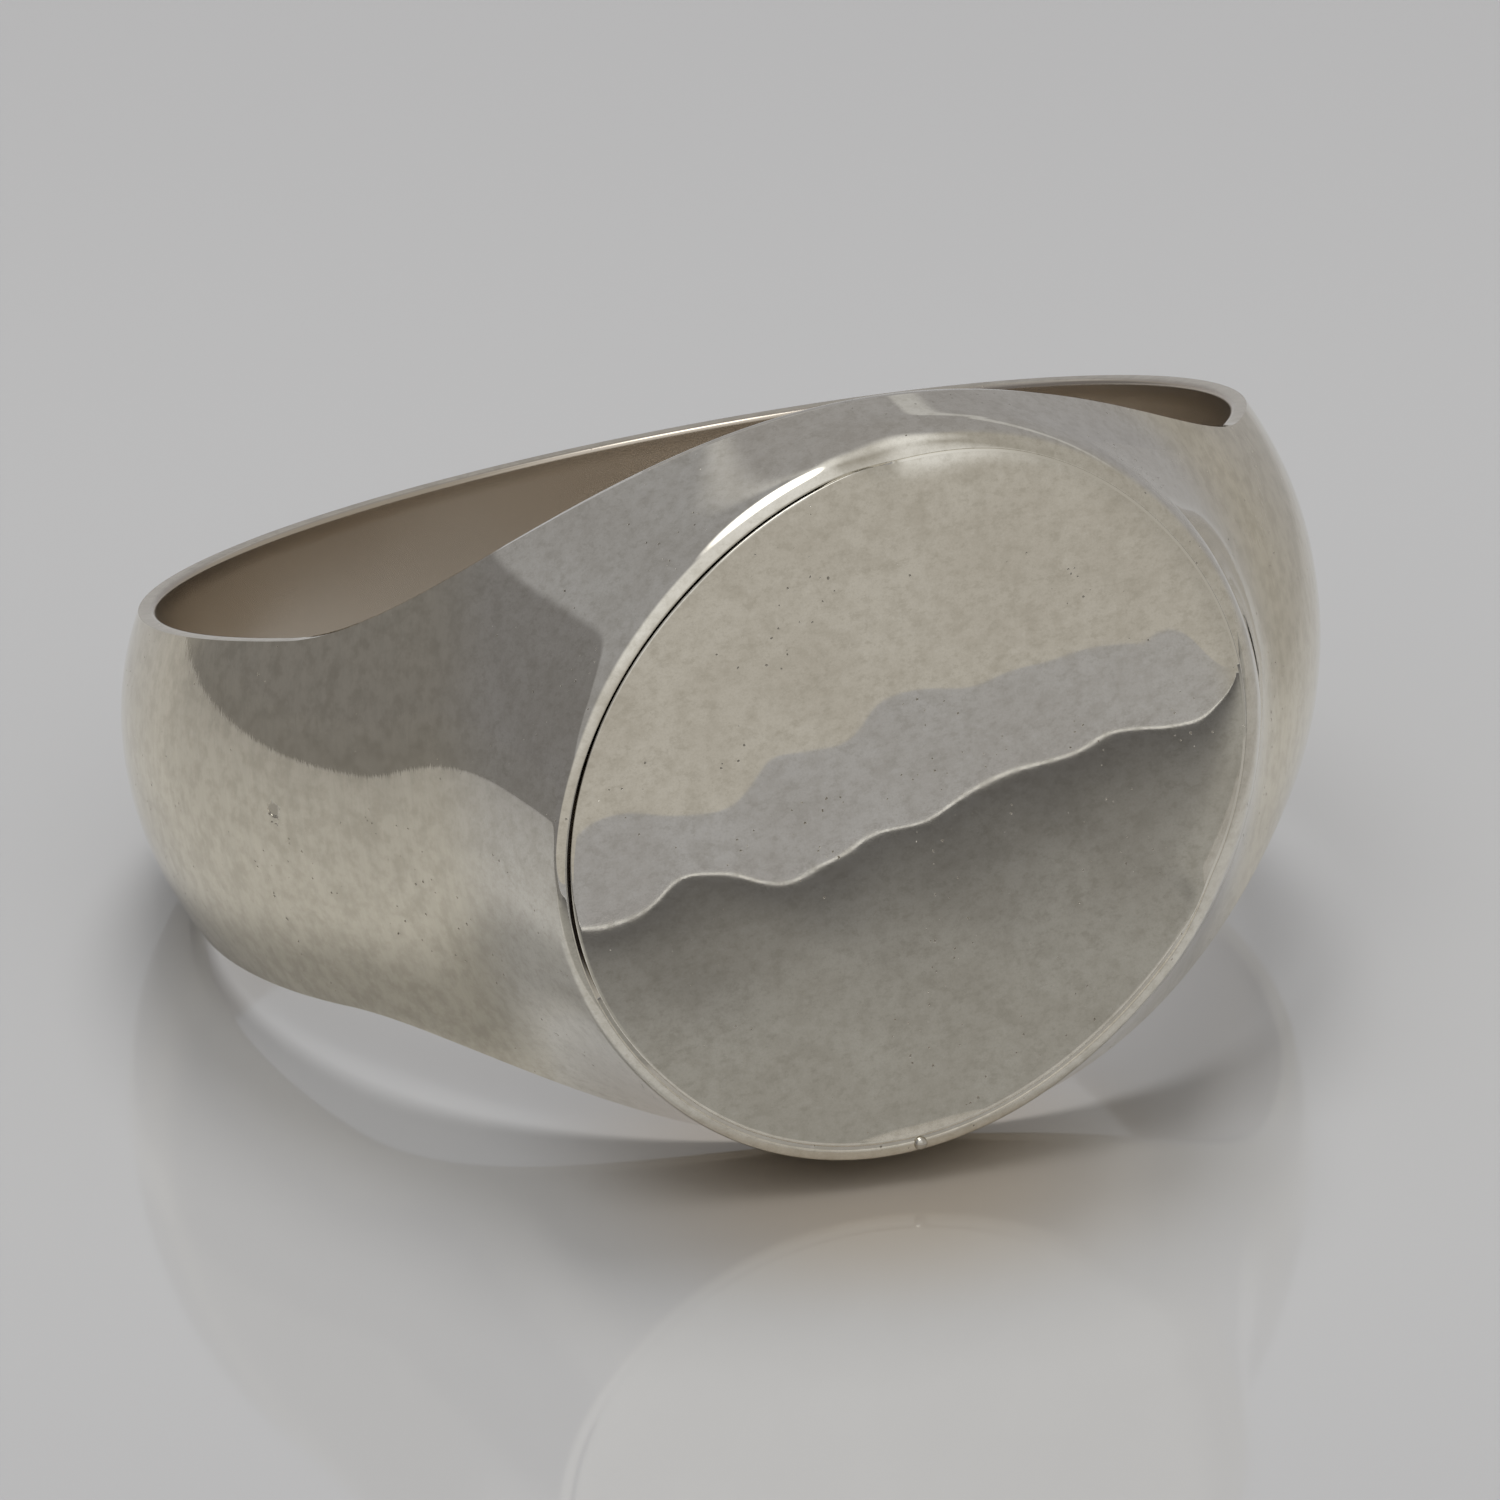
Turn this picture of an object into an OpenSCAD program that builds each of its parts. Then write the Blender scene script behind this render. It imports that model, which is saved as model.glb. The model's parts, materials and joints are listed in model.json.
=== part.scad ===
// Oval signet ring, built up from a plate, a head, a two-part shank and a sizing piece,
// all joined with solder. It lies at rest on z = 0, on the lower edge of its head and shank.

/* [Finger hole] */
// Diameter of the finger hole
bore_d = 19.0; // [15:0.1:23]

/* [Head] */
// Width of the head, along the finger
head_w = 12.7; // [12.4:0.1:14]
// Height of the flat face above the middle of the finger hole
face_h = 11.6; // [11.4:0.1:12.2]
// Angle from the middle of the face at which the head has run out to the plain shank's width
head_arc = 62; // [56:1:70]
// Angle from the middle of the face to each shoulder joint
shoulder_joint = 52; // [50:1:56]

/* [Face plate] */
// Length of the oval plate
plate_long = 12.5; // [10:0.1:12.6]
// Width of the oval plate
plate_short = 10.7; // [9:0.1:11]
// Turn of the oval's long axis up from the line of the shank
plate_turn = 34; // [0:1:42]
// How far the plate's middle lies to the right of the head's middle
plate_x = -0.15; // [-0.2:0.05:0.2]
// How far the plate's middle lies above the head's middle
plate_z = -0.12; // [-0.14:0.02:0.14]
// Squareness of the oval: 2 is an ellipse, more is a cushion
plate_power = 2.1; // [2:0.05:2.2]
// Thickness of the plate
plate_t = 0.6; // [0.4:0.05:0.9]
// Width of the head's rim round the plate
rim_w = 0.25; // [0.15:0.05:0.3]

/* [Shank] */
// Width that the plain shank would have at the head
shank_w_front = 7.4; // [6:0.1:8.5]
// Width of the shank at the back
shank_w_back = 4.0; // [3:0.1:5]
// Thickness of the shank at the head
shank_t_front = 1.1; // [0.9:0.05:1.3]
// Thickness of the shank at the back
shank_t_back = 0.9; // [0.8:0.05:1.2]
// Thickness left at the shank's edges, under the crown
edge_t = 0.3; // [0.2:0.05:0.5]
// Angle from the middle of the back to each joint of the sizing piece
sizing_joint = 15; // [8:1:25]

/* [Solder] */
// Thickness of the solder under the plate and in the shank's joints
solder_t = 0.1; // [0.08:0.01:0.15]
// Width of the solder line round the plate
solder_line_w = 0.06; // [0.04:0.01:0.1]
// Diameter of the bead of solder left on the rim, at the lower edge of the plate
bead_d = 0.24; // [0.16:0.02:0.4]
// Angle of that bead round the plate, down from the right-hand end
bead_angle = 98; // [0:1:360]

/* [Rest] */
// Angle that the face looks up when the ring lies on its side
rest_tilt = 11.4; // [8:0.1:14]
// Angle that the ring rolls to its left on the round lower edge of the head
rest_lean = 6; // [0:0.1:8]

/* [Hidden] */

bore_r = bore_d / 2;
plate_back = face_h - plate_t;
block_top = plate_back - solder_t;
// The solids start this far inside the finger hole, and the bore then cuts them to size
inside = 1.2;
core_r = bore_r - inside;
// Angle that a solder seam takes up at the outside of the shank
seam_arc = solder_t / (bore_r + shank_t_front) * 180 / PI;
back_joint = 180 - sizing_joint;
// Section of the crown: 2 is a parabola, more is flatter in the middle
crown_power = 2.1;
// The head's flare ends where the oval, grown by this factor, would pass
flare_reach = 2.3;
// How the flare falls away from the oval towards that limit
flare_power = 3;
// How the skin's samples crowd towards the oval: 1 spaces them evenly
flare_crowding = 1.4;
// Where along the top edge the lines of the head's skin end: above 1 draws them to the middle
edge_spread = 1.8;
// Each sweep runs this many degrees past its ends, which slice() then cuts square
overrun = 1;
// Samples round the oval, out from it, across the shank, and degrees a step along the shank
oval_steps = 72;
flare_steps = 7;
crown_steps = 12;
arc_step = 5.5;
silver = [0.72, 0.70, 0.66];
solder_grey = [0.55, 0.54, 0.52];

// The shank's dimensions at angle t, measured round the finger hole from the middle of the face
function taper(t) = (1 + cos(t)) / 2;
function swell(t) = abs(t) < head_arc ? pow(1 - pow(t / head_arc, 2), 2) : 0;
function half_width(t) = shank_w_back / 2 + (shank_w_front - shank_w_back) / 2 * taper(t)
    + (head_w - shank_w_front) / 2 * swell(t);
function shank_t(t) = shank_t_back + (shank_t_front - shank_t_back) * taper(t);
function crown(v) = 1 - pow(abs(v), crown_power);
function shank_r(t, v) = bore_r + edge_t + (shank_t(t) - edge_t) * crown(v);

// 1 on the outline of the plate grown by a margin, less inside it and more outside.
// Here x and z are measured from the plate's middle
function oval_measure(x, z, margin) = let (
    along = (x * cos(plate_turn) + z * sin(plate_turn)) / (plate_long / 2 + margin),
    across = (z * cos(plate_turn) - x * sin(plate_turn)) / (plate_short / 2 + margin))
    pow(pow(abs(along), plate_power) + pow(abs(across), plate_power), 1 / plate_power);
function oval_point(a, margin) = [plate_x, plate_z] + [cos(a), sin(a)] / oval_measure(cos(a), sin(a), margin);

// How much of the height between shank and face is left at a point outside the oval
function flare(q, v) = q >= flare_reach ? 0 : let (out = max(0, q - 1))
    pow(1 - out / (flare_reach - 1), flare_power) * (1 - out / (out + 1 - abs(v) + 1e-9));

// Radius of the outer skin at angle t and at v, from -1 to 1 across the width
function skin_r(t, v) = abs(t) > head_arc ? shank_r(t, v) : let (
    q = oval_measure(face_h * tan(t) - plate_x, v * half_width(t) - plate_z, rim_w),
    r = shank_r(t, v))
    r + (face_h / cos(t) - r) * flare(q, v);

function around(t, r, z) = [r * sin(t), -r * cos(t), z];
function skin_point(t, v) = around(t, skin_r(t, v), v * half_width(t));

// The face's outline at polar angle a, as [t, v]
function oval_place(a) = let (p = oval_point(a, rim_w), t = atan(p[0] / face_h)) [t, p[1] / half_width(t)];

// The rim of the head's skin at polar angle a, as [t, v]: its top and bottom edges and both ends
function rim_place(a) = let (big = max(abs(cos(a)), abs(sin(a))), x = cos(a) / big, v = sin(a) / big)
    [(shoulder_joint + overrun) * sign(x) * pow(abs(x), abs(v) > 1 - 1e-6 ? edge_spread : 1), v];

function flare_place(a, k) = let (f = pow(k / flare_steps, flare_crowding))
    oval_place(a) * (1 - f) + rim_place(a) * f;

function ring_faces(first, count) = [for (i = [0 : count - 1]) let (j = (i + 1) % count)
    each [[first + i, first + j, first + count + j], [first + i, first + count + j, first + count + i]]];

// The head with its plate, uncut
module head_solid() {
    angles = [for (i = [0 : oval_steps - 1]) i * 360 / oval_steps];
    face = [for (a = angles) let (p = oval_point(a, rim_w)) [p[0], -face_h, p[1]]];
    flared = [for (k = [1 : flare_steps]) for (a = angles) let (p = flare_place(a, k)) skin_point(p[0], p[1])];
    skin = concat(face, flared);
    core = [for (a = angles) let (p = rim_place(a)) around(p[0], core_r, p[1] * half_width(p[0]))];
    last = len(skin);
    polyhedron(
        points = concat(skin, core, [[0, -core_r, 0]]),
        faces = concat(
            [[for (i = [0 : oval_steps - 1]) oval_steps - 1 - i]],
            [for (k = [0 : flare_steps]) each ring_faces(k * oval_steps, oval_steps)],
            [for (i = [0 : oval_steps - 1]) [last + i, last + (i + 1) % oval_steps, last + oval_steps]]),
        convexity = 6);
}

// A length of shank that runs past angles t1 and t2, uncut
module shank_solid(t1, t2) {
    arc = t2 - t1 + 2 * overrun;
    steps = ceil(arc / arc_step);
    count = crown_steps + 3;
    sections = [for (i = [0 : steps]) let (t = t1 - overrun + arc * i / steps, w = half_width(t)) concat(
        [for (j = [0 : crown_steps]) let (v = sin(180 * j / crown_steps - 90))
            around(t, shank_r(t, v), v * w)],
        [around(t, core_r, w), around(t, core_r, -w)])];
    polyhedron(
        points = [for (s = sections) each s],
        faces = concat(
            [[for (j = [0 : count - 1]) count - 1 - j]],
            [for (i = [0 : steps - 1]) each ring_faces(i * count, count)],
            [[for (j = [0 : count - 1]) steps * count + j]]),
        convexity = 6);
}

// The part of its children between angles t1 and t2
module slice(t1, t2) {
    corners = [for (t = [t1, (t1 + t2) / 2, t2]) 2 * head_w * [sin(t), -cos(t)]];
    intersection() {
        children();
        linear_extrude(height = 2 * head_w, center = true) polygon(concat([[0, 0]], corners));
    }
}

module bored() {
    difference() {
        children();
        cylinder(r = bore_r, h = 3 * head_w, center = true, $fn = 180);
    }
}

// A block of the plate's outline, grown by a margin, that reaches from one height to another
module oval_block(margin, from, to) {
    translate([0, -from, 0]) rotate([90, 0, 0]) linear_extrude(height = to - from)
        polygon([for (i = [0 : oval_steps - 1]) oval_point(i * 360 / oval_steps, margin)]);
}

// The ring's place at rest, with the lowest points of its head and shank on z = 0
function at_rest(p) = let (
    y = p[1] * cos(rest_tilt) + p[2] * sin(rest_tilt),
    z = p[2] * cos(rest_tilt) - p[1] * sin(rest_tilt))
    [p[0] * cos(rest_lean) - z * sin(rest_lean), y, z * cos(rest_lean) + p[0] * sin(rest_lean)];
outside_points = [for (t = [-180 : 4 : 176]) for (v = [-1 : 0.25 : 1]) at_rest(skin_point(t, v))];
bore_points = [for (t = [-180 : 4 : 176]) for (v = [-1, 1]) at_rest(around(t, bore_r, v * half_width(t)))];
oval_points = [for (a = [0 : 5 : 355]) let (p = oval_point(a, rim_w)) at_rest([p[0], -face_h, p[1]])];
extent = [for (axis = [0 : 2])
    let (c = [for (p = concat(outside_points, bore_points, oval_points)) p[axis]]) [min(c), max(c)]];
rest_shift = [-(extent[0][0] + extent[0][1]) / 2, -(extent[1][0] + extent[1][1]) / 2, -extent[2][0]];

module at_rest() {
    translate(rest_shift) rotate([-rest_tilt, -rest_lean, 0]) children();
}

module face_plate() {
    color(silver) at_rest() oval_block(0, plate_back, face_h);
}

module head_block() {
    color(silver) at_rest() difference() {
        bored() slice(-shoulder_joint, shoulder_joint) head_solid();
        oval_block(solder_line_w, block_top, face_h + 1);
    }
}

// The solder fills the seat under and round the plate, and leaves half a bead standing on the rim,
// where it touches the plate but doesn't overhang it
module solder_face() {
    bead = oval_point(-bead_angle, bead_d / 2);
    color(solder_grey) at_rest() {
        difference() {
            oval_block(solder_line_w, block_top, face_h);
            oval_block(0, plate_back, face_h + 1);
        }
        intersection() {
            translate([bead[0], -face_h, bead[1]]) sphere(d = bead_d, $fn = 32);
            oval_block(rim_w, face_h, face_h + bead_d);
        }
    }
}

module shank_side(side) {
    from = shoulder_joint + seam_arc;
    to = back_joint - seam_arc;
    color(silver) at_rest() bored() mirror([side < 0 ? 1 : 0, 0, 0]) slice(from, to) shank_solid(from, to);
}

module sizing_piece() {
    color(silver) at_rest() bored() slice(back_joint, 180 + sizing_joint)
        shank_solid(back_joint, 180 + sizing_joint);
}

module solder_across(side, t) {
    color(solder_grey) at_rest() bored() mirror([side < 0 ? 1 : 0, 0, 0]) slice(t, t + seam_arc)
        shank_solid(t, t + seam_arc);
}

module shank_left() { shank_side(-1); }
module shank_right() { shank_side(1); }
module solder_shoulder_left() { solder_across(-1, shoulder_joint); }
module solder_shoulder_right() { solder_across(1, shoulder_joint); }
module solder_back_left() { solder_across(-1, back_joint - seam_arc); }
module solder_back_right() { solder_across(1, back_joint - seam_arc); }

face_plate();
head_block();
shank_left();
shank_right();
sizing_piece();
solder_face();
solder_shoulder_left();
solder_shoulder_right();
solder_back_left();
solder_back_right();
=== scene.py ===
"""A polished signet ring, soldered up from a plate, a head and a tapered shank, lying on its side."""

import json
import math

import bpy
import numpy as np
from mathutils import Matrix, Vector


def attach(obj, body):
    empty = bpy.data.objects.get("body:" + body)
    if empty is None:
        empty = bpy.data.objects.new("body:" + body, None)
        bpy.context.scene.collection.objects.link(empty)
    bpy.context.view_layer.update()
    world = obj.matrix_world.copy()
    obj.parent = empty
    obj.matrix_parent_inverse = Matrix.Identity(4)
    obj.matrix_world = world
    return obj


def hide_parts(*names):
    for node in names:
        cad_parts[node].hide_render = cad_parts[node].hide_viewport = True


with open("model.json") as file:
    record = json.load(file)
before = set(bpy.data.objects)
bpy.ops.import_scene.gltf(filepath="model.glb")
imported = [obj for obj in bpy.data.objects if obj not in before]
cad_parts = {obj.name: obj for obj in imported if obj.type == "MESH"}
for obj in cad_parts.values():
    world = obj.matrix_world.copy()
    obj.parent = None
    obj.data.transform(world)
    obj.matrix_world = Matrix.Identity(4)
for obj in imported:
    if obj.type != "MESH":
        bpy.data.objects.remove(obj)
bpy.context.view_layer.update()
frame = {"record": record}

# ------------------------------------------------ the ring's own frame, from the record
# Along the finger is Z, the face looks along -Y, and angles are measured round the hole from the face
MM = 0.001
mounts = {m["name"]: m for m in frame["record"]["mounts"]}
hole, face = mounts["finger_hole"], mounts["face"]
CENTRE = Vector(hole["pos_m"])
AXIS = Vector(hole["axis"]).normalized()
BACK = -Vector(face["axis"]).normalized()
RIGHT = BACK.cross(AXIS).normalized()
PLACE = Matrix.Translation(CENTRE) @ Matrix((RIGHT, BACK, AXIS)).transposed().to_4x4()

# ------------------------------------------------ the design in millimetres, as in the CAD source
BORE_R = hole["dims"]["r_mm"]
HEAD_W = hole["dims"]["length_mm"]
FACE_H = (Vector(face["pos_m"]) - CENTRE).length / MM
HEAD_ARC = 62            # degrees each side of the face over which the head swells
SHOULDER_JOINT = 52
PLATE_LONG, PLATE_SHORT = 12.5, 10.7
PLATE_TURN = math.radians(34)
PLATE_X, PLATE_Z = -0.15, -0.12   # the plate's middle
PLATE_POWER = 2.1        # 2 is an ellipse, and more is fuller
PLATE_T = 0.6
RIM_W = 0.25
SHANK_W_FRONT, SHANK_W_BACK = 7.4, 4.0
SHANK_T_FRONT, SHANK_T_BACK = 1.1, 0.9
EDGE_T = 0.3
SIZING_JOINT = 15
SOLDER_T = 0.1
SOLDER_LINE_W = 0.06
BEAD_D = 0.24
BEAD_ANGLE = 98          # degrees round the plate from its right-hand end, downwards
CROWN_POWER = 2.1        # 2 is a parabola across the shank, and more is fuller
FLARE_REACH = 2.3        # where the head's flare ends, as a multiple of the plate's outline
FLARE_POWER = 3
EDGE_SPREAD = 1.8        # how the lines down the head are drawn together along its edge
SEAM_ARC = math.degrees(SOLDER_T / (BORE_R + SHANK_T_FRONT))
BACK_JOINT = 180 - SIZING_JOINT
PLATE_BACK = FACE_H - PLATE_T
BLOCK_TOP = PLATE_BACK - SOLDER_T

# ------------------------------------------------ what hand finishing does to that design, in millimetres
FACE_LOSS = 0.06         # how much has been polished off the middle of the plate
FACE_CROWN = 0.057       # how far the plate's outline falls away from its middle
FACE_TILT = 0.0023       # how much further its top has been worn than its bottom, a millimetre
FACE_WIND = -0.002       # how the face winds, a millimetre right by a millimetre up
FACE_HOLLOW = 0.0002     # how its top falls away and its bottom is left, a millimetre cubed
# Waves left in the face by hand polishing: height, length, direction in degrees, and phase
WAVES = ((0.0015, 5.2, 55, 1.72), (0.0004, 2.3, 35, 0.8), (0.00005, 1.1, 50, 2.0))
RIM_SLOPE = 0.22         # how the rim slopes away from the plate
LOSS_REACH = 0.3         # how far down the head's skin the loss at the rim fades
BORE_EDGE_R = 0.1        # rounding where the bore meets the ring's edges
# Stretches round the plate, in degrees from its right-hand end: from, to and the fade at each end
OPEN_SEAM = (102, 192, 8)    # where the solder has sunk below the plate
BROAD_ROLL = (84, 150, 24)   # where the head's rim has been rolled over broadly
SOFT_SIDE = (-26, 80, 18)    # where the plate has been polished over into the head
# Rounding of the edges round the plate: everywhere, and what those stretches add
EDGE_ROUND, ROLL_ROUND, SOFT_ROUND = 0.05, 0.25, 0.38
ROLL_ON_PLATE = 0.3      # the share of the broad roll that reaches onto the plate
# Radius of the plate's own corner: everywhere, and what is added where it is crisp and at the open seam
CORNER_LEAST, CORNER_CRISP, CORNER_OPEN = 0.001, 0.015, 0.02
# How deep the solder's line lies: everywhere, and what is added where the plate is crisp and at the open seam
SINK_LEAST, SINK_CRISP, SINK_OPEN = 0.001, 0.019, 0.12
LIP_BEVEL = 0.01         # a small bevel on the head's lip, beside the solder
BEAD_LAP = 0.03          # how deep the bead's middle lies in the rim
BEAD_BELLY = 0.02        # how much deeper the middle of its hidden underside is

# ------------------------------------------------ how finely the meshes are divided
ROUND = 384              # points round the oval
PLATE_RINGS = 56         # across the plate, to where its edge's own rings start
PLATE_FIRST = 0.015      # the first of them, as a share of the last
EDGE_STEP = 0.02         # between rings near the plate's edge, in millimetres
# Where those rings start and end, in millimetres out from the outer side of the solder's line
EDGE_FROM, EDGE_TO = -1.8, 1.6
EDGE_FADE = 0.6          # how gently the rounding ends at both
INNER_MARGIN = -2.2      # where the surface is sampled from, to find the rings' places
SKIN_SAMPLES = 400       # down the head's skin, for the same purpose
SKIN_RINGS = 60          # down the rest of the head's skin
BORE_RINGS = 28          # steps from the head's edge to the middle of its part of the bore
SHANK_STEP = 0.75        # degrees between the shank's sections
QUARTER = np.radians([0, 30, 60, 90])
SHARP = math.radians(40)   # edges sharper than this aren't shaded smooth


# ------------------------------------------------ the shape of the ring
def taper(t):
    """1 at the face and 0 at the back of the ring."""
    return (1 + np.cos(np.radians(t))) / 2


def swell(t):
    """1 at the face and 0 where the head ends."""
    return np.where(np.abs(t) < HEAD_ARC, (1 - (t / HEAD_ARC) ** 2) ** 2, 0)


def half_width(t):
    return (SHANK_W_BACK + (SHANK_W_FRONT - SHANK_W_BACK) * taper(t)
            + (HEAD_W - SHANK_W_FRONT) * swell(t)) / 2


def crown(v):
    return 1 - np.abs(v) ** CROWN_POWER


def shank_r(t, v):
    thick = SHANK_T_BACK + (SHANK_T_FRONT - SHANK_T_BACK) * taper(t)
    return BORE_R + EDGE_T + (thick - EDGE_T) * crown(v)


def oval_measure(x, z, margin):
    """1 on the plate's outline grown by a margin; x and z are measured from the plate's middle."""
    c, s = math.cos(PLATE_TURN), math.sin(PLATE_TURN)
    along = np.abs(x * c + z * s) / (PLATE_LONG / 2 + margin)
    across = np.abs(z * c - x * s) / (PLATE_SHORT / 2 + margin)
    return (along ** PLATE_POWER + across ** PLATE_POWER) ** (1 / PLATE_POWER)


def oval_share(x, z, margin):
    """The same, with x and z measured from the ring's centre."""
    return oval_measure(x - PLATE_X, z - PLATE_Z, margin)


def flare(q, v):
    """How far the head has risen to its rim: 1 at the rim, and 0 at FLARE_REACH and at the head's edge."""
    out = np.maximum(0, q - 1)
    left = np.clip(1 - out / (FLARE_REACH - 1), 0, 1) ** FLARE_POWER
    return left * (1 - out / (out + 1 - np.abs(v) + 1e-9))


def skin_r(t, v):
    """The outside of the ring: its radius at an angle round the hole and a share of the half width."""
    near = np.clip(t, -HEAD_ARC, HEAD_ARC)
    q = oval_share(FACE_H * np.tan(np.radians(near)), v * half_width(t), RIM_W)
    r = shank_r(t, v)
    return r + np.where(np.abs(t) > HEAD_ARC, 0, (FACE_H / np.cos(np.radians(near)) - r) * flare(q, v))


def around(t, r, z):
    """Points at an angle and a radius round the hole."""
    a = np.radians(t)
    return np.stack([r * np.sin(a), -r * np.cos(a), z + 0 * r], axis=-1)


ANGLES = np.arange(ROUND) * 2 * math.pi / ROUND


def oval_points(margin):
    r = 1 / oval_measure(np.cos(ANGLES), np.sin(ANGLES), margin)
    return PLATE_X + r * np.cos(ANGLES), PLATE_Z + r * np.sin(ANGLES)


def smooth(x):
    x = np.clip(x, 0, 1)
    return x * x * (3 - 2 * x)


def in_stretch(start, end, fade):
    """For each point round the oval, 1 where it lies from start to end, fading to 0 outside."""
    x, z = oval_points(0)
    a = np.degrees(np.arctan2(z - PLATE_Z, x - PLATE_X))
    middle, half = (start + end) / 2, (end - start) / 2
    off = np.abs((a - middle + 180) % 360 - 180)
    return 1 - smooth((off - half) / fade)


OPENED, ROLLED, SOFT = in_stretch(*OPEN_SEAM), in_stretch(*BROAD_ROLL), in_stretch(*SOFT_SIDE)
CRISP = 1 - SOFT


def face_drop(x, z):
    """How far hand finishing has lowered the face."""
    drop = FACE_LOSS + FACE_CROWN * oval_share(x, z, 0) ** 2 + FACE_WIND * x * z / 2
    drop = drop + FACE_TILT * z + FACE_HOLLOW * z ** 3
    for height, length, turn, phase in WAVES:
        a = math.radians(turn)
        drop = drop + height * np.sin(2 * math.pi * (x * math.cos(a) + z * math.sin(a)) / length + phase)
    return drop


def face_y(x, z):
    return face_drop(x, z) - FACE_H


def rim_fall(margin):
    """How far the rim has fallen away from the face, a margin out from the plate's outline."""
    return RIM_SLOPE * max(0, margin - SOLDER_LINE_W) * CRISP


# ------------------------------------------------ mesh building
def closed_piece(name, shells):
    """Each shell is a first point, the rings of points after it, and a last point."""
    verts, faces = [], []
    for first, rings, last in shells:
        base, n = len(verts), len(rings[0])
        verts.append(first)
        for ring in rings:
            verts.extend(ring)
        verts.append(last)
        end = len(verts) - 1
        for i in range(n):
            j = (i + 1) % n
            faces.append((base, base + 1 + j, base + 1 + i))
            for k in range(len(rings) - 1):
                a = base + 1 + k * n
                faces.append((a + i, a + j, a + n + j, a + n + i))
            a = base + 1 + (len(rings) - 1) * n
            faces.append((a + i, a + j, end))
    mesh = bpy.data.meshes.new(name)
    mesh.from_pydata((np.array(verts, dtype=float) * MM).tolist(), [], faces)
    mesh.transform(PLACE)
    mesh.validate()
    mesh.shade_smooth()
    mesh.set_sharp_from_angle(angle=SHARP)
    piece = bpy.data.objects.new(name, mesh)
    bpy.context.collection.objects.link(piece)
    return piece


def flare_starts():
    """Where each line down the head's skin starts at the rim, as an angle and a share of the width."""
    x, z = oval_points(RIM_W)
    t = np.degrees(np.arctan(x / FACE_H))
    return t, z / half_width(t)


def flare_ends():
    """Where each of those lines ends, on the head's edge or at the shoulder."""
    largest = np.maximum(np.abs(np.cos(ANGLES)), np.abs(np.sin(ANGLES)))
    side, v = np.cos(ANGLES) / largest, np.sin(ANGLES) / largest
    spread = np.where(np.abs(v) > 1 - 1e-6, EDGE_SPREAD, 1)
    return SHOULDER_JOINT * np.sign(side) * np.abs(side) ** spread, v


def flare_ring(f):
    """The head's skin at a share of the way out, with what finishing takes off near the rim."""
    (start_t, start_v), (end_t, end_v) = flare_starts(), flare_ends()
    t, v = start_t * (1 - f) + end_t * f, start_v * (1 - f) + end_v * f
    p = around(t, skin_r(t, v), v * half_width(t))
    lost = face_drop(*oval_points(RIM_W)) + rim_fall(RIM_W)
    out = (oval_share(p[:, 0], p[:, 2], RIM_W) - 1) * PLATE_SHORT / 2
    p[:, 1] += lost * np.exp(-np.maximum(0, out) / LOSS_REACH) * (1 - f) ** 2
    return p


def rounded_edge():
    """The rings near the plate's edge: their places and points, and the share of the skin where they end."""
    # The surface with crisp edges, in rows over the plate and its rim and then down the head's skin
    margins = np.arange(INNER_MARGIN, RIM_W, EDGE_STEP)
    shares = np.linspace(0, 1, SKIN_SAMPLES)
    rows = []
    for margin in margins:
        x, z = oval_points(margin)
        rows.append(np.stack([x, face_y(x, z) + rim_fall(margin), z], axis=-1))
    rows = np.array(rows + [flare_ring(f) for f in shares])
    flat = len(margins)
    # How far along the surface each row lies, on each ray
    steps = np.linalg.norm(np.diff(rows, axis=0), axis=2)
    run = np.concatenate([np.zeros((1, ROUND)), np.cumsum(steps, axis=0)])

    # The same surface at even steps, rounded by averaging. The plate keeps its own side where that is sheer
    places = np.arange(EDGE_FROM, EDGE_TO + EDGE_STEP / 2, EDGE_STEP)
    wide = EDGE_ROUND + ROLL_ROUND * ROLLED + SOFT_ROUND * SOFT
    sheer = 1 - np.maximum(ROLLED * ROLL_ON_PLATE, SOFT)
    quiet = smooth((EDGE_TO - places) / EDGE_FADE) * smooth((places - EDGE_FROM) / EDGE_FADE)
    result = np.empty((len(places), ROUND, 3))
    ends = np.empty(ROUND)
    for i in range(ROUND):
        s = run[:, i] - np.interp(SOLDER_LINE_W, margins, run[:flat, i])
        even = np.stack([np.interp(places, s, rows[:, i, k]) for k in range(3)], axis=-1)
        inner = np.where(places < -SOLDER_LINE_W / 2, 1 - sheer[i], 1)
        width = np.maximum(1e-3, wide[i] * quiet * inner)
        weights = np.exp(-((places[:, None] - places[None, :]) / width[:, None]) ** 2 / 2)
        result[:, i] = (weights / weights.sum(axis=1, keepdims=True)) @ even
        ends[i] = np.interp(EDGE_TO, s[flat:], shares)
    return places, result, ends


PLACES, EDGE, EDGE_ENDS = rounded_edge()


def edge_ring(place):
    return EDGE[int(round((place - EDGE_FROM) / EDGE_STEP))]


def sunk(ring, depth):
    return ring + np.stack([0 * ring[:, 0], depth + 0 * ring[:, 0], 0 * ring[:, 0]], axis=-1)


def at_depth(ring, y):
    moved = ring.copy()
    moved[:, 1] = y
    return moved


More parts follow.
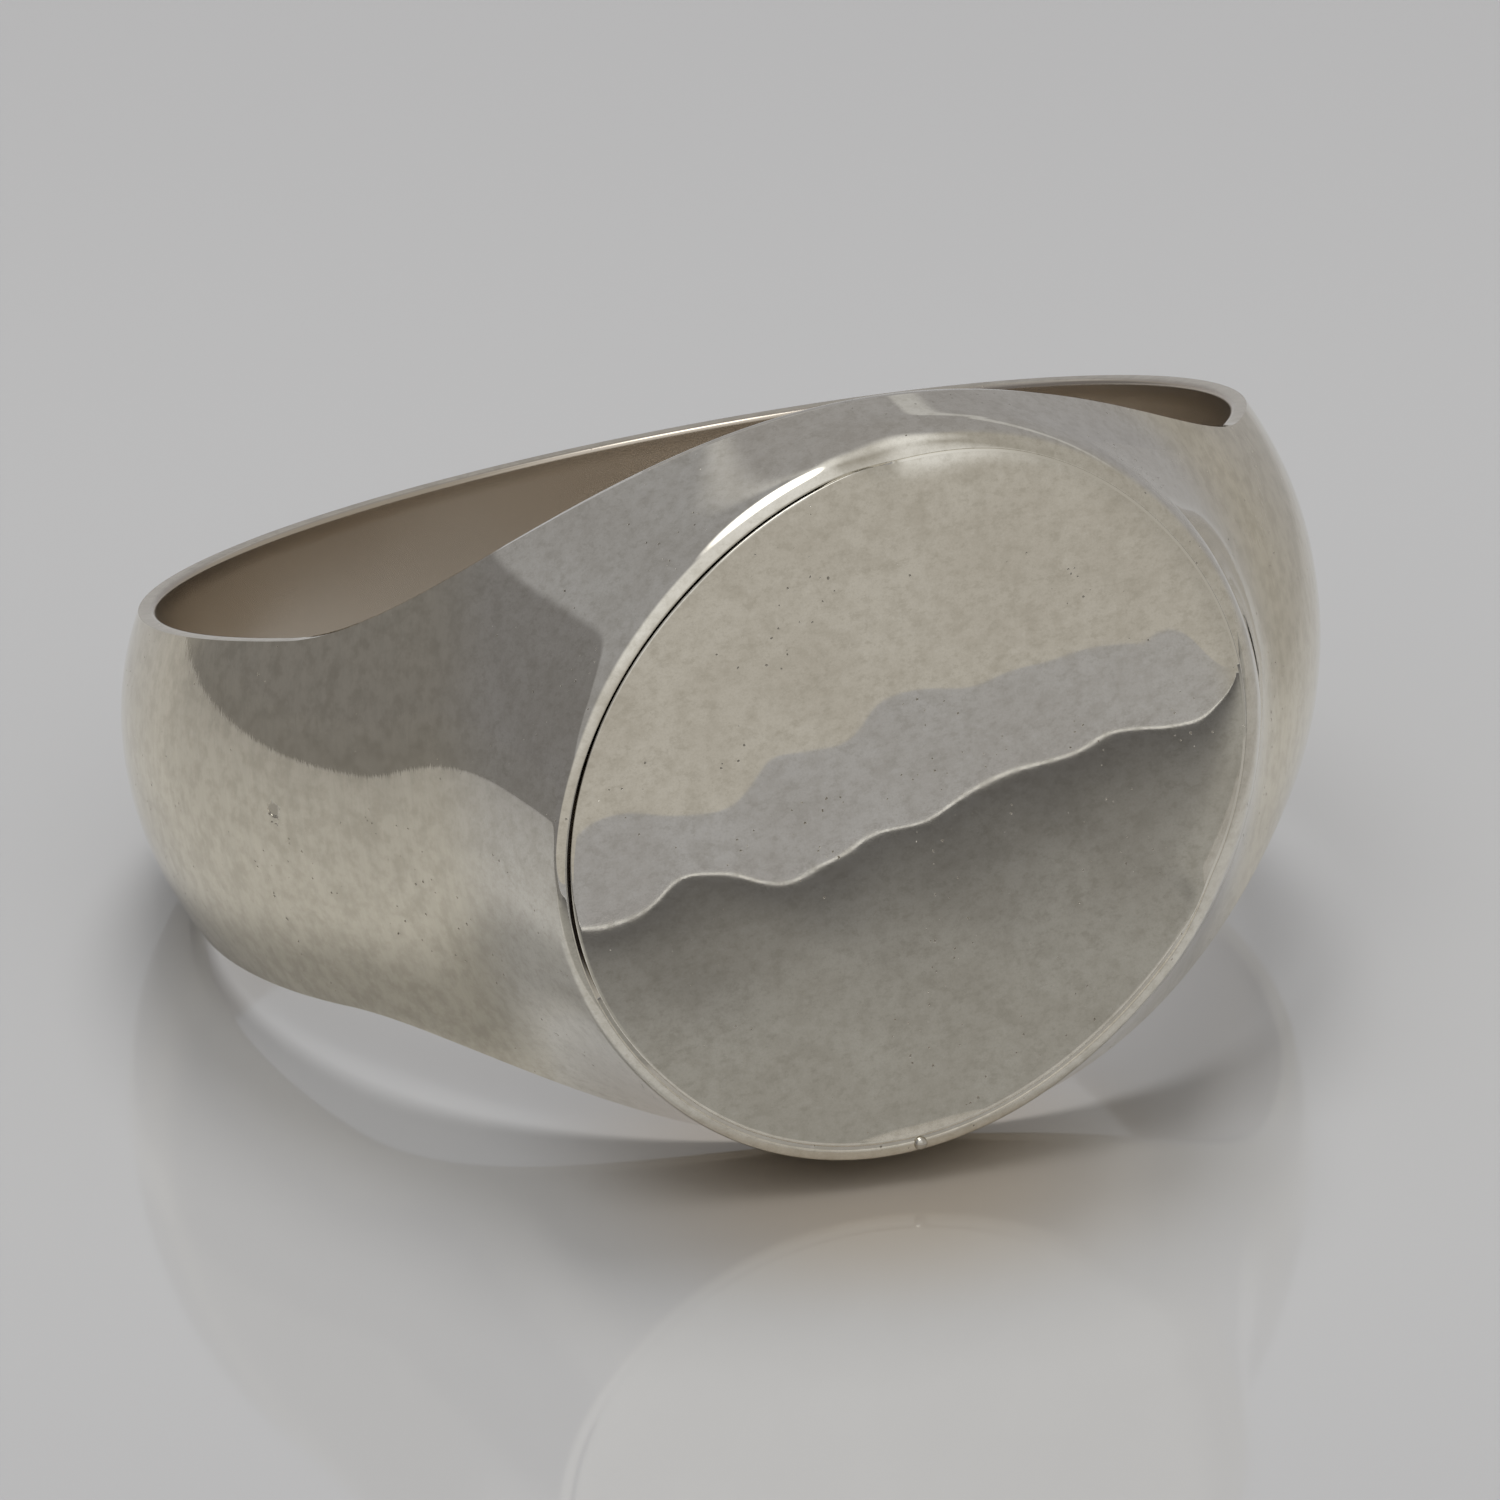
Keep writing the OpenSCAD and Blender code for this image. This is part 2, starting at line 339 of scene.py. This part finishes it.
# ------------------------------------------------ the pieces
def build_plate():
    start = edge_ring(EDGE_FROM)
    middle = np.array([PLATE_X, 0, PLATE_Z])
    rings = []
    for s in np.linspace(PLATE_FIRST, 1, PLATE_RINGS)[:-1]:
        p = middle + (start - middle) * s
        p[:, 1] = face_y(p[:, 0], p[:, 2])
        rings.append(p)
    edge = edge_ring(-SOLDER_LINE_W)
    radius = CORNER_LEAST + CORNER_CRISP * CRISP + CORNER_OPEN * OPENED
    inward = middle - edge
    inward[:, 1] = 0
    inward /= np.linalg.norm(inward, axis=1)[:, None]
    rings += [edge_ring(p) for p in PLACES if p < -SOLDER_LINE_W - EDGE_ROUND]
    for b in QUARTER:
        rings.append(sunk(edge + inward * (radius * (1 - math.sin(b)))[:, None], radius * (1 - math.cos(b))))
    rings.append(at_depth(edge, -PLATE_BACK))
    top = float(face_y(PLATE_X, PLATE_Z))
    return closed_piece("oval_plate", [((PLATE_X, top, PLATE_Z), rings, (PLATE_X, -PLATE_BACK, PLATE_Z))])


def solder_cup():
    """The solder under and round the plate, as a shell."""
    inner, outer = edge_ring(-SOLDER_LINE_W), edge_ring(0)
    sink = SINK_LEAST + SINK_CRISP * CRISP + SINK_OPEN * OPENED
    rings = [at_depth(inner, -PLATE_BACK), sunk(inner, sink), sunk(outer, sink), at_depth(outer, -BLOCK_TOP)]
    return (PLATE_X, -PLATE_BACK, PLATE_Z), rings, (PLATE_X, -BLOCK_TOP, PLATE_Z)


def solder_bead():
    """The bead of solder left at the lower edge of the plate, as a shell."""
    a = math.radians(-BEAD_ANGLE)
    reach = 1 / float(oval_measure(math.cos(a), math.sin(a), BEAD_D / 2))
    x, z = PLATE_X + reach * math.cos(a), PLATE_Z + reach * math.sin(a)
    base = float(face_y(x, z)) + BEAD_LAP
    turn = np.linspace(0, 2 * math.pi, 33)[:-1]
    r = BEAD_D / 2
    dome = [np.stack([x + r * math.sin(b) * np.cos(turn), base - r * math.cos(b) + 0 * turn,
                      z + r * math.sin(b) * np.sin(turn)], axis=-1)
            for b in np.radians([10, 25, 40, 55, 70, 82, 90])]
    return (x, base - r, z), dome, (x, base + BEAD_BELLY, z)


def build_plate_solder():
    return closed_piece("plate_solder", [solder_cup(), solder_bead()])


def build_head():
    end_t, end_v = flare_ends()
    lip = edge_ring(0)
    rings = [at_depth(lip, -BLOCK_TOP), sunk(lip, LIP_BEVEL)]
    rings += [edge_ring(p) for p in PLACES if p > EDGE_STEP / 2]
    for k in range(1, SKIN_RINGS + 1):
        rings.append(flare_ring(EDGE_ENDS + (1 - EDGE_ENDS) * k / SKIN_RINGS))
    w = half_width(end_t)
    for b in QUARTER:
        r = BORE_R + BORE_EDGE_R * (1 - math.sin(b))
        rings.append(around(end_t, r + 0 * end_t, end_v * (w - BORE_EDGE_R * (1 - math.cos(b)))))
    bore_v = end_v * (w - BORE_EDGE_R) / w
    for k in range(1, BORE_RINGS):
        f = 1 - k / BORE_RINGS
        rings.append(around(end_t * f, BORE_R + 0 * end_t, bore_v * f * half_width(end_t * f)))
    return closed_piece("head", [((PLATE_X, -BLOCK_TOP, PLATE_Z), rings, (0, -BORE_R, 0))])


def shank_section(t):
    """The outline of the shank's section at an angle: over its crown, and back along the bore."""
    w = float(half_width(t))
    v = np.sin(np.radians(np.linspace(-90, 90, 65)))
    outer = around(t, skin_r(np.full_like(v, t), v), v * w)
    b = np.radians(np.linspace(0, 90, 5))
    r = BORE_R + BORE_EDGE_R * (1 - np.sin(b))
    z = w - BORE_EDGE_R * (1 - np.cos(b))
    wall = np.linspace(1, -1, 15)[1:-1] * (w - BORE_EDGE_R)
    inner = np.concatenate([around(t, r, z), around(t, BORE_R + 0 * wall, wall), around(t, r, -z)[::-1]])
    return np.concatenate([outer, inner])


def build_shank(name, t1, t2):
    """A length of the shank between two angles. The solder seams are short lengths of it."""
    steps = max(2, int(abs(t2 - t1) / SHANK_STEP))
    rings = [shank_section(t) for t in np.linspace(t1, t2, steps + 1)]
    middle = BORE_R + EDGE_T
    return closed_piece(name, [(around(t1, middle, 0.0), rings, around(t2, middle, 0.0))])


def build_ring():
    """Every piece with the CAD node that it stands for and its material slot."""
    near, far = SHOULDER_JOINT + SEAM_ARC, BACK_JOINT - SEAM_ARC
    return [
        (build_plate(), "face_plate", "silver"),
        (build_head(), "head_block", "silver"),
        (build_shank("shank_left_side", -far, -near), "shank_left", "silver"),
        (build_shank("shank_right_side", near, far), "shank_right", "silver"),
        (build_shank("sizing_section", BACK_JOINT, 180 + SIZING_JOINT), "sizing_piece", "silver"),
        (build_plate_solder(), "solder_face", "solder"),
        (build_shank("shoulder_solder_left", -near, -SHOULDER_JOINT), "solder_shoulder_left", "solder"),
        (build_shank("shoulder_solder_right", SHOULDER_JOINT, near), "solder_shoulder_right", "solder"),
        (build_shank("back_solder_left", -BACK_JOINT, -far), "solder_back_left", "solder"),
        (build_shank("back_solder_right", far, BACK_JOINT), "solder_back_right", "solder"),
    ]


# ------------------------------------------------ node tree helper
class Tree:
    """Short ways to add nodes to a node tree. Inputs are numbers, tuples or other nodes' outputs."""

    def __init__(self, tree):
        self.tree = tree
        tree.nodes.clear()

    def put(self, socket, value):
        if isinstance(value, bpy.types.NodeSocket):
            self.tree.links.new(value, socket)
        else:
            socket.default_value = value

    def node(self, kind, inputs=(), **settings):
        n = self.tree.nodes.new(kind)
        for key, value in settings.items():
            setattr(n, key, value)
        for key, value in dict(inputs).items():
            self.put(n.inputs[key], value)
        return n

    def math(self, operation, *values):
        return self.node("ShaderNodeMath", dict(enumerate(values)), operation=operation).outputs[0]

    def vector_math(self, operation, *values):
        return self.node("ShaderNodeVectorMath", dict(enumerate(values)), operation=operation)

    def rise(self, value, start, end, low=0.0, high=1.0):
        """low before start, high after end, and a smooth step between. start may be more than end."""
        inputs = {"Value": value, "From Min": start, "From Max": end, "To Min": low, "To Max": high}
        return self.node("ShaderNodeMapRange", inputs, interpolation_type="SMOOTHSTEP").outputs["Result"]

    def mix(self, share, a, b):
        n = self.node("ShaderNodeMix", data_type="RGBA")
        for index, value in ((0, share), (6, a), (7, b)):
            self.put(n.inputs[index], value)
        return n.outputs[2]

    def parts(self, vector):
        return self.node("ShaderNodeSeparateXYZ", {0: vector}).outputs

    def object_place(self):
        return self.node("ShaderNodeTexCoord").outputs["Object"]

    def scaled(self, vector, factors):
        return self.vector_math("MULTIPLY", vector, factors).outputs[0]

    def distance(self, a, b):
        return self.vector_math("DISTANCE", a, b).outputs["Value"]

    def noise(self, vector, scale, detail=2.0, roughness=0.5, output="Fac"):
        inputs = {"Vector": vector, "Scale": scale, "Detail": detail, "Roughness": roughness}
        return self.node("ShaderNodeTexNoise", inputs).outputs[output]

    def bump(self, height, depth_mm, normal=None):
        inputs = {"Height": height, "Distance": depth_mm * MM, "Strength": 1.0}
        if normal is not None:
            inputs["Normal"] = normal
        return self.node("ShaderNodeBump", inputs).outputs["Normal"]


def new_material(name):
    material = bpy.data.materials.new(name)
    material.use_nodes = True
    return material, Tree(material.node_tree)


# ------------------------------------------------ places on the ring, for its materials
def millimetres(t):
    """The place in the ring's own frame, in millimetres."""
    inputs = {"Vector": t.object_place(), "Location": CENTRE, "Rotation": PLACE.to_euler(),
              "Scale": (MM, MM, MM)}
    return t.node("ShaderNodeMapping", inputs, vector_type="TEXTURE").outputs[0]


def distance_from_bore(t, where):
    x, y, _ = t.parts(where)
    squares = t.math("ADD", t.math("POWER", x, 2.0), t.math("POWER", y, 2.0))
    return t.math("SUBTRACT", t.math("SQRT", squares), BORE_R)


def angle_round(t, where):
    """The angle round the finger hole from the face, in degrees."""
    x, y, _ = t.parts(where)
    return t.math("DEGREES", t.math("ARCTAN2", x, t.math("MULTIPLY", y, -1.0)))


def round_plate(t, where, start, end, fade):
    """1 for places whose angle round the plate lies from start to end, fading to 0 outside."""
    x, _, z = t.parts(where)
    a = t.math("DEGREES", t.math("ARCTAN2", t.math("SUBTRACT", z, PLATE_Z), t.math("SUBTRACT", x, PLATE_X)))
    off = t.math("ABSOLUTE", t.math("WRAP", t.math("SUBTRACT", a, (start + end) / 2), 180.0, -180.0))
    half = (end - start) / 2
    return t.rise(off, half, half + fade, 1.0, 0.0)


# ------------------------------------------------ the metal
SILVER_DULL, SILVER_BRIGHT = (0.82, 0.78, 0.69, 1), (0.89, 0.855, 0.765, 1)
SEAM_DULL, SEAM_BRIGHT = (0.79, 0.755, 0.67, 1), (0.85, 0.82, 0.735, 1)
LINE_DULL, LINE_BRIGHT = (0.62, 0.59, 0.53, 1), (0.72, 0.69, 0.62, 1)
# Painted shade in the gap where the solder has sunk below the plate
LINE_PAINTED_SHADE = (0.035, 0.03, 0.028, 1)
WORN_DULL, WORN_BRIGHT = (0.72, 0.665, 0.54, 1), (0.86, 0.80, 0.66, 1)
# A darker, browner colour over the inside of the bore
BORE_DARKER = (0.66, 0.59, 0.50, 1)

# Noises: features a millimetre, detail and roughness
PATCHES, MOTTLE, GRAIN = (0.55, 3.0, 0.6), (3.2, 5.0, 0.62), (26.0, 2.0, 0.7)
WRINKLES, LINES, ROLLS = (5.0, 6.0, 0.75), (7.0, 3.0, 0.7), (0.55, 0.45, 0.5)
WRINKLE_SHAPE = (1.0, 1.0, 1.5)       # closer together along the finger
LINE_SHAPE = (1.0, 1.0, 0.08)         # scratches run along the finger
WORN_ARC = (34, 44)                   # degrees from the face at which the shank's rubbed surface starts
BORE_SKIN = (0.01, 0.1)               # how far from the bore its own surface fades out
PIT_CELLS, PIT_R = 5.5, 0.13          # pits a millimetre, and the largest's radius as a share of a cell
PIT_UNEVEN, PIT_WOBBLE = 12.0, (0.06, 0.06, 0.06)
PIT_DRIFTS = 0.9                      # drifts of pits a millimetre
DENT = Vector((-9.38, -4.79, 0.43))   # a small dent in the left side of the shank
DENT_SHAPE = Vector((1.0, 1.0, 0.75))
DENT_R, DENT_WOBBLE = 0.17, 0.08

# Colours in the polish: the noise, where it starts and is full, its strength and its colour
POLISH_TINTS = (
    ("mottle", 0.42, 0.68, 0.4, (0.64, 0.60, 0.51, 1)),
    ("grain", 0.4, 0.7, 0.25, (0.62, 0.59, 0.52, 1)),
    ("wrinkles", 0.48, 0.66, 0.45, (0.60, 0.565, 0.48, 1)),
    ("wrinkles", 0.46, 0.30, 0.35, (0.97, 0.94, 0.86, 1)),
)
# Colours of the marks: the mark, its strength and its colour
MARK_TINTS = (
    ("scratches", 0.25, (0.6, 0.57, 0.47, 1)),
    ("pits", 0.65, (0.2, 0.17, 0.13, 1)),
    ("dent", 0.45, (0.3, 0.27, 0.22, 1)),
)
# Relief: the noise or mark, and its depth in millimetres
RELIEF = (("rolls", 0.004), ("grain", 0.000004), ("scratches", 0.0005), ("pits", -0.02), ("dent", -0.03))
# Roughness of the polish, and what rubbing adds, each from least to most, and what pits and the bore add
POLISH_ROUGH, WORN_ROUGH, PIT_ROUGH, BORE_ROUGH = (0.010, 0.018), (0.01, 0.05), 0.3, 0.22


def pit_marks(t, where):
    """Fine uneven pits, in drifts."""
    wobble = t.scaled(t.noise(where, PIT_UNEVEN, output="Color"), PIT_WOBBLE)
    uneven = t.vector_math("ADD", where, wobble).outputs[0]
    cells = t.node("ShaderNodeTexVoronoi", {"Vector": uneven, "Scale": PIT_CELLS, "Randomness": 1.0})
    size = t.rise(t.noise(where, PIT_DRIFTS), 0.44, 0.66, 0.0, PIT_R)
    return t.rise(t.math("SUBTRACT", size, cells.outputs["Distance"]), 0.0, 0.05)


def dent_mark(t, where):
    """One dent, a little longer along the finger, with an uneven outline."""
    way = t.distance(t.scaled(where, DENT_SHAPE), DENT * DENT_SHAPE)
    way = t.math("ADD", way, t.rise(t.noise(where, 5.0), 0.3, 0.7, -DENT_WOBBLE, DENT_WOBBLE))
    return t.rise(way, DENT_R, 0.4 * DENT_R)


def metal_marks(t):
    """What polishing and wear have left on the metal: masks from 0 to 1, and noises."""
    where = millimetres(t)
    inside = t.rise(distance_from_bore(t, where), *BORE_SKIN, 1.0, 0.0)
    outside = t.math("SUBTRACT", 1.0, inside)
    angle = t.math("ABSOLUTE", angle_round(t, where))
    worn = t.math("MULTIPLY", t.rise(angle, *WORN_ARC), outside)
    lines = t.rise(t.noise(t.scaled(where, LINE_SHAPE), *LINES), 0.35, 0.75)
    return {
        "where": where,
        "inside": inside,
        "worn": worn,
        "patches": t.noise(where, *PATCHES),
        "mottle": t.noise(where, *MOTTLE),
        "grain": t.noise(where, *GRAIN),
        "wrinkles": t.noise(t.scaled(where, WRINKLE_SHAPE), *WRINKLES),
        "rolls": t.noise(where, *ROLLS),
        "scratches": t.math("MULTIPLY", lines, worn),
        "pits": t.math("MULTIPLY", pit_marks(t, where), outside),
        "dent": dent_mark(t, where),
    }


def metal_colour(t, marks, dull, bright):
    colour = t.mix(t.rise(marks["patches"], 0.35, 0.65), dull, bright)
    for name, start, full, strength, tint in POLISH_TINTS:
        colour = t.mix(t.rise(marks[name], start, full, 0.0, strength), colour, tint)
    rubbed = t.mix(t.rise(marks["mottle"], 0.38, 0.68), WORN_BRIGHT, WORN_DULL)
    colour = t.mix(marks["worn"], colour, rubbed)
    for name, strength, tint in MARK_TINTS:
        colour = t.mix(t.math("MULTIPLY", marks[name], strength), colour, tint)
    return t.mix(marks["inside"], colour, BORE_DARKER)


def metal_roughness(t, marks):
    rough = t.rise(marks["mottle"], 0.35, 0.7, *POLISH_ROUGH)
    rubbed = t.rise(marks["mottle"], 0.3, 0.7, *WORN_ROUGH)
    for name, added in (("worn", rubbed), ("pits", PIT_ROUGH), ("inside", BORE_ROUGH)):
        rough = t.math("ADD", rough, t.math("MULTIPLY", marks[name], added))
    return rough


def metal_relief(t, marks):
    normal = None
    for name, depth in RELIEF:
        normal = t.bump(marks[name], depth, normal)
    return normal


def line_colour(t, marks, colour):
    """The solder's line round the plate: bright where it is polished over, and near black where it has sunk,
    which is painted shade in the gap.
    """
    colour = t.mix(round_plate(t, marks["where"], *SOFT_SIDE), colour, SILVER_BRIGHT)
    # painted shade in the open seam
    return t.mix(round_plate(t, marks["where"], *OPEN_SEAM), colour, LINE_PAINTED_SHADE)


def polished_metal(name, dull, bright, recolour=None):
    material, t = new_material(name)
    marks = metal_marks(t)
    colour = metal_colour(t, marks, dull, bright)
    if recolour is not None:
        colour = recolour(t, marks, colour)
    shader = t.node("ShaderNodeBsdfPrincipled", {
        "Base Color": colour, "Metallic": 1.0, "Roughness": metal_roughness(t, marks),
        "Normal": metal_relief(t, marks)})
    t.node("ShaderNodeOutputMaterial", {"Surface": shader.outputs[0]})
    return material


def silver_material():
    return polished_metal("polished_silver", SILVER_DULL, SILVER_BRIGHT)


def seam_material():
    """Solder polished flush in the shank's joints: nearly the silver's colour."""
    return polished_metal("flush_solder", SEAM_DULL, SEAM_BRIGHT)


def plate_solder_material():
    """The same solder, greyer, under and round the plate, with painted shade where its line has sunk."""
    return polished_metal("plate_solder", LINE_DULL, LINE_BRIGHT, line_colour)


# ------------------------------------------------ the floor, in metres
FLOOR_PALE = (0.53, 0.53, 0.533, 1)
FLOOR_FAR, FLOOR_MIDDLE = (0.128, 0.126, 0.128, 1), (0.345, 0.342, 0.33, 1)
FLOOR_LEFT, FLOOR_RIGHT = (0.22, 0.216, 0.213, 1), (0.42, 0.415, 0.41, 1)
# Painted warm light, as if reflected from the silver, in the shadow under the head
FLOOR_PAINTED_WARM_LIGHT = (0.52, 0.465, 0.40, 1)
FLOOR_LIP = (0.8, 0.8, 0.8, 1)       # a pale front edge, which the face mirrors as a thin line
FLOOR_ROUGH, FLOOR_GLOSS = 0.055, 0.8
FLOOR_SIDE, FLOOR_FRONT, FLOOR_BACK = 0.8, 0.20, 0.9   # how far the floor runs each way
FAR_START = (0.030, 0.032)         # towards the camera: where the dark part in front starts
FAR_FADE = (0.20, 0.04)            # where that part is darkest and where it is lightest
LEFT_START = (-0.044, -0.047)      # to the left: where the dark part there starts
RIGHT_START = (0.018, 0.026)       # to the right: where the dimmer part there starts
RIGHT_SLANT = 0.27                 # how much further right that is, for each metre further back
LIP_START = (FLOOR_FRONT - 0.005, FLOOR_FRONT - 0.004)
HEAD_FOOT = (-0.0012, -0.0105, 0)  # where the head stands on the floor
PAINTED_WARM_FADE = (0.0065, 0.0015)       # how far from there the painted warm light from the silver ends and is full


def floor_material():
    """Glossy pale acrylic, darker in front and at the sides, where only the metal shows it to the camera,
    with painted warm light from the silver in the shadow under the head.
    """
    material, t = new_material("pale_acrylic")
    x, y, _ = t.parts(t.object_place())
    away = t.math("MULTIPLY", y, -1.0)
    far = t.rise(away, *FAR_START)
    rightwards = t.math("SUBTRACT", x, t.math("MULTIPLY", y, RIGHT_SLANT))
    from_foot = t.distance(t.object_place(), HEAD_FOOT)

    # painted warm light from the silver, round where the head stands
    colour = t.mix(t.rise(from_foot, *PAINTED_WARM_FADE), FLOOR_PALE, FLOOR_PAINTED_WARM_LIGHT)
    colour = t.mix(t.rise(rightwards, *RIGHT_START), colour, FLOOR_RIGHT)
    colour = t.mix(far, colour, t.mix(t.rise(away, *FAR_FADE), FLOOR_FAR, FLOOR_MIDDLE))
    colour = t.mix(t.rise(x, *LEFT_START), colour, FLOOR_LEFT)
    colour = t.mix(t.rise(away, *LIP_START), colour, FLOOR_LIP)
    gloss = t.math("MULTIPLY", t.math("SUBTRACT", 1.0, far), FLOOR_GLOSS)
    shader = t.node("ShaderNodeBsdfPrincipled", {
        "Base Color": colour, "Roughness": FLOOR_ROUGH, "Specular IOR Level": gloss})
    t.node("ShaderNodeOutputMaterial", {"Surface": shader.outputs[0]})
    return material


def make_floor():
    corners = [(-FLOOR_SIDE, -FLOOR_FRONT, 0), (FLOOR_SIDE, -FLOOR_FRONT, 0),
               (FLOOR_SIDE, FLOOR_BACK, 0), (-FLOOR_SIDE, FLOOR_BACK, 0)]
    mesh = bpy.data.meshes.new("floor")
    mesh.from_pydata(corners, [], [(0, 1, 2, 3)])
    mesh.materials.append(floor_material())
    floor = bpy.data.objects.new("floor", mesh)
    bpy.context.collection.objects.link(floor)


# ------------------------------------------------ the room and the lamp
# Angles are in degrees: high is measured up from the horizon, and turn to the right from straight in front
STRIP, WALL, CEILING = (0.375, 0.375, 0.395, 1), (0.47, 0.452, 0.425, 1), (0.75, 0.75, 0.75, 1)
LEFT_LOW, LEFT_HIGH = (0.203, 0.199, 0.205, 1), (0.33, 0.33, 0.345, 1)
RIGHT_WALL = (0.40, 0.385, 0.36, 1)
BACK_WALL, BACK_BAND = (0.34, 0.335, 0.345, 1), (0.5, 0.5, 0.505, 1)
OVERHEAD, FILL = (0.8, 0.8, 0.8, 1), (2.6, 2.6, 2.6, 1)
# Where each of them fades in, or out
STRIP_TOP = (-0.62, -0.58)
CEILING_RISE, CEILING_TURN = (14, 42), (62, 34)
LEFT_NEAR, LEFT_BACK, LEFT_RISE = (-60, -78), (-160, -140), (25, 27)
RIGHT_TURN = (8, 45)
BACK_FROM_LEFT, BACK_FROM_RIGHT = (-140, -165), (110, 140)
BAND_BOTTOM, BAND_TOP = (20, 22.5), (27, 25.5)
OVERHEAD_RISE = (68, 84)
FILL_EDGE = (0.95, 0.98)            # cosines of the angle from the middle of the soft light
FILL_WAY = (-0.261, -0.090, 0.961)  # the direction of the soft light, high on the left
LAMP_TILT, LAMP_TURN = math.radians(30), math.radians(-20)   # the lamp's angles from straight above
LAMP_WIDTH = math.radians(24)
LAMP_POWER = 1.25


def room_in_front(t, high, turn):
    """A cool strip at the floor's edge, a warm wall and a bright ceiling."""
    colour = t.mix(t.rise(high, *STRIP_TOP), STRIP, WALL)
    ceiling = t.math("MULTIPLY", t.rise(high, *CEILING_RISE), t.rise(turn, *CEILING_TURN))
    return t.mix(ceiling, colour, CEILING)


def room_behind(t, high):
    """Cool, with a paler band."""
    band = t.math("MULTIPLY", t.rise(high, *BAND_BOTTOM), t.rise(high, *BAND_TOP))
    return t.mix(band, BACK_WALL, BACK_BAND)


def make_studio():
    """The room: bright in front, dark to the left, dimmer to the right and behind, and lit from above."""
    world = bpy.data.worlds.new("studio")
    world.use_nodes = True
    t = Tree(world.node_tree)
    way = t.node("ShaderNodeTexCoord").outputs["Generated"]
    x, y, z = t.parts(way)
    high = t.math("DEGREES", t.math("ARCSINE", z))
    turn = t.math("DEGREES", t.math("ARCTAN2", x, t.math("MULTIPLY", y, -1.0)))

    on_left = t.math("MULTIPLY", t.rise(turn, *LEFT_NEAR), t.rise(turn, *LEFT_BACK))
    behind = t.math("MAXIMUM", t.rise(turn, *BACK_FROM_LEFT), t.rise(turn, *BACK_FROM_RIGHT))
    facing_fill = t.vector_math("DOT_PRODUCT", way, FILL_WAY).outputs["Value"]
    left_wall = t.mix(t.rise(high, *LEFT_RISE), LEFT_LOW, LEFT_HIGH)
    colour = t.mix(on_left, room_in_front(t, high, turn), left_wall)
    colour = t.mix(t.rise(turn, *RIGHT_TURN), colour, RIGHT_WALL)
    colour = t.mix(behind, colour, room_behind(t, high))
    colour = t.mix(t.rise(high, *OVERHEAD_RISE), colour, OVERHEAD)
    colour = t.mix(t.rise(facing_fill, *FILL_EDGE), colour, FILL)
    background = t.node("ShaderNodeBackground", {"Color": colour, "Strength": 1.0})
    t.node("ShaderNodeOutputWorld", {"Surface": background.outputs[0]})
    bpy.context.scene.world = world


def make_lamp():
    """High behind the ring: it casts the shadow, and is hidden from reflections."""
    data = bpy.data.lights.new("lamp", "SUN")
    data.energy = LAMP_POWER
    data.angle = LAMP_WIDTH
    lamp = bpy.data.objects.new("lamp", data)
    lamp.rotation_euler = (-LAMP_TILT, 0, LAMP_TURN)
    lamp.visible_glossy = False
    bpy.context.collection.objects.link(lamp)


# ------------------------------------------------ the camera, in the ring's own frame
CAM_TURN, CAM_RISE, CAM_ROLL = math.radians(-14.88), math.radians(13.83), math.radians(9.51)
CAM_DISTANCE = 258.3                  # millimetres from the ring's centre
AIM_RIGHT, AIM_DOWN = 0.556, -1.534   # the middle of the frame, in millimetres from the ring's centre
SENSOR = 36.0
LENS = 355.5


def make_camera():
    outward = Vector((math.sin(CAM_TURN) * math.cos(CAM_RISE), -math.cos(CAM_TURN) * math.cos(CAM_RISE),
                      math.sin(CAM_RISE)))
    level = Vector((math.cos(CAM_TURN), math.sin(CAM_TURN), 0))
    above = outward.cross(level)
    right = math.cos(CAM_ROLL) * level - math.sin(CAM_ROLL) * above
    up = math.sin(CAM_ROLL) * level + math.cos(CAM_ROLL) * above
    look = (AIM_RIGHT * right + AIM_DOWN * up - CAM_DISTANCE * outward).normalized()
    right = look.cross(up).normalized()
    up = right.cross(look)
    turned = Matrix((right, up, -look)).transposed().to_4x4()
    data = bpy.data.cameras.new("camera")
    data.sensor_width = SENSOR
    data.lens = LENS
    data.clip_start = 0.01
    data.clip_end = 5
    camera = bpy.data.objects.new("camera", data)
    camera.matrix_world = PLACE @ Matrix.Translation(outward * CAM_DISTANCE * MM) @ turned
    bpy.context.collection.objects.link(camera)
    bpy.context.scene.camera = camera


# ------------------------------------------------ the scene
silver, seam, plate_solder = silver_material(), seam_material(), plate_solder_material()
for piece, node, slot in build_ring():
    solder = plate_solder if node == "solder_face" else seam
    piece.data.materials.append(silver if slot == "silver" else solder)
    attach(piece, "root")
    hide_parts(node)
make_floor()
make_studio()
make_lamp()
make_camera()
bpy.context.scene.view_settings.view_transform = "Standard"
